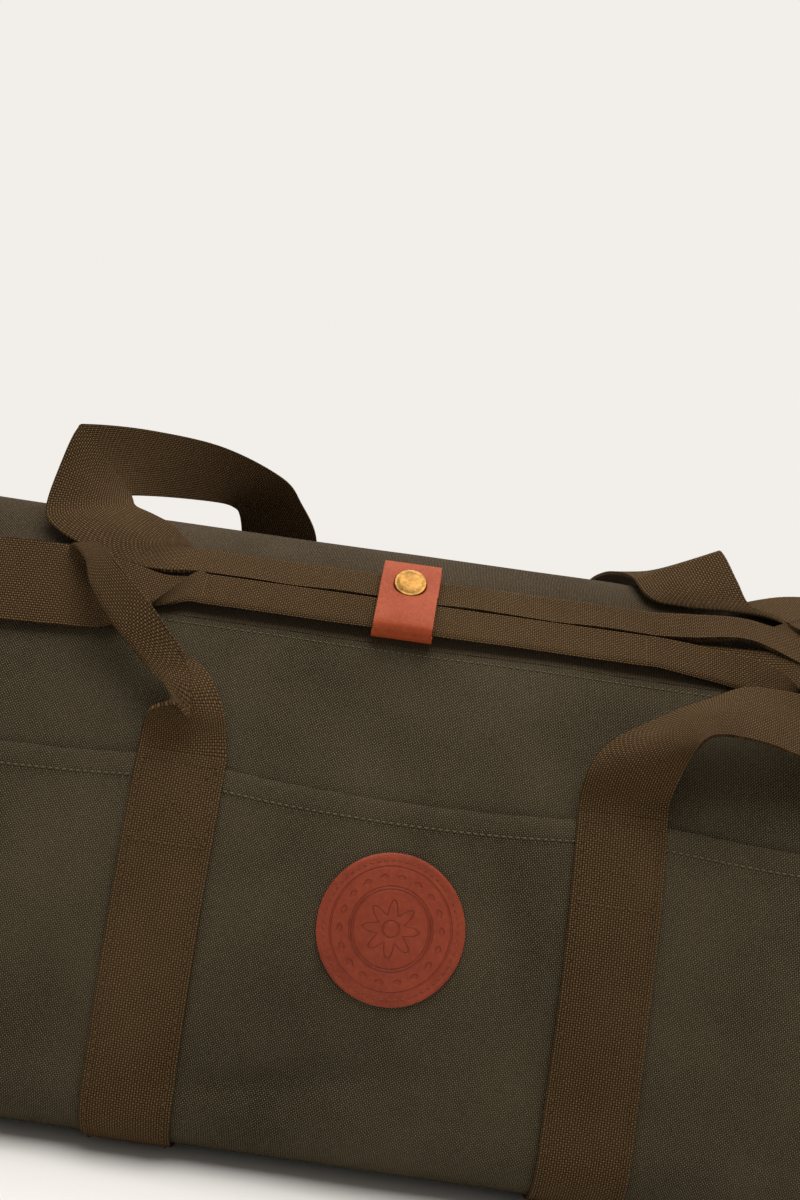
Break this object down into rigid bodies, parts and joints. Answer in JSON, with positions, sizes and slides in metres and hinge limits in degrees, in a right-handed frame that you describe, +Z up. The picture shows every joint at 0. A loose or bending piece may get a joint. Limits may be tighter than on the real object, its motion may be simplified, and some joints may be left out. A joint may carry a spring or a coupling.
{
  "type": "duffel bag",
  "caption": "Soft canvas duffel bag with zipped top, webbing bands and carry handles held by a snapped leather wrap, a front slip pocket and a round leather patch.",
  "frame": {"origin": "middle of the flat base, on the surface that the bag stands on", "axes": "+X along the bag, -Y out of the front with the pocket and patch, +Z up"},
  "size_m": [0.54, 0.2751, 0.2964],
  "materials": {
    "canvas": "waxed plain weave",
    "webbing": "coarse cotton webbing",
    "leather": "vegetable tanned, satin",
    "brass": "aged satin",
    "zip": "woven tape and nylon coil",
    "piping": "canvas covered cord"
  },
  "bodies": {
    "bag": {"front_panel": "canvas", "back_panel": "canvas", "front_pocket": "canvas", "base_panel": "canvas", "band_left": "webbing", "band_right": "webbing", "end_panel_left": "canvas", "end_panel_right": "canvas", "piping_left": "piping", "piping_right": "piping", "top_end_left": "canvas", "top_end_right": "canvas", "zip_end_tape_left": "zip", "zip_end_tape_right": "zip", "zip_end_coil_left": "zip", "zip_end_coil_right": "zip", "leather_patch": "leather", "leg_front_left": "webbing", "leg_front_right": "webbing", "leg_back_left": "webbing", "leg_back_right": "webbing"},
    "top_front": {"top_panel_front": "canvas", "zip_tape_front": "zip", "zip_coil_front": "zip"},
    "top_back": {"top_panel_back": "canvas", "zip_tape_back": "zip", "zip_coil_back": "zip"},
    "slider": {"zip_slider": "brass"},
    "pull": {"zip_pull": "brass", "pull_tab": "leather"},
    "handles": {"grip_front": "webbing", "grip_back": "webbing", "leather_wrap": "leather", "snap_stud": "brass"},
    "wrap_flap": {"leather_flap": "leather", "snap_cap": "brass", "snap_socket": "brass"},
    "end_handle_left": {"end_handle_left": "webbing"},
    "end_handle_right": {"end_handle_right": "webbing"}
  },
  "joints": [
    {"name": "top_front_fold", "type": "hinge", "parent": "bag", "child": "top_front", "pos_m": [0, -0.07269, 0.22449], "axis": [-1, 0, 0], "range_deg": [0, 105]},
    {"name": "top_back_fold", "type": "hinge", "parent": "bag", "child": "top_back", "pos_m": [0, 0.07269, 0.22449], "axis": [1, 0, 0], "range_deg": [0, 105]},
    {"name": "zip_travel", "type": "slide", "parent": "bag", "child": "slider", "axis": [-1, 0, 0], "range_m": [0, 0.47]},
    {"name": "zip_pull_swing", "type": "hinge", "parent": "slider", "child": "pull", "pos_m": [0.235, 0, 0.27013], "axis": [0, -1, 0], "range_deg": [0, 150]},
    {"name": "handles_lift", "type": "slide", "parent": "bag", "child": "handles", "axis": [0, 0.4352, 0.9003], "range_m": [0, 0.13], "deforming": ["leg_front_left", "leg_front_right", "leg_back_left", "leg_back_right"]},
    {"name": "wrap_open", "type": "hinge", "parent": "handles", "child": "wrap_flap", "pos_m": [0, -0.07901, 0.2345], "axis": [1, 0, 0], "range_deg": [0, 150]},
    {"name": "end_handle_left_swing", "type": "hinge", "parent": "bag", "child": "end_handle_left", "pos_m": [-0.268, 0, 0.17], "axis": [0, 1, 0], "range_deg": [0, 150]},
    {"name": "end_handle_right_swing", "type": "hinge", "parent": "bag", "child": "end_handle_right", "pos_m": [0.268, 0, 0.17], "axis": [0, -1, 0], "range_deg": [0, 150]}
  ]
}
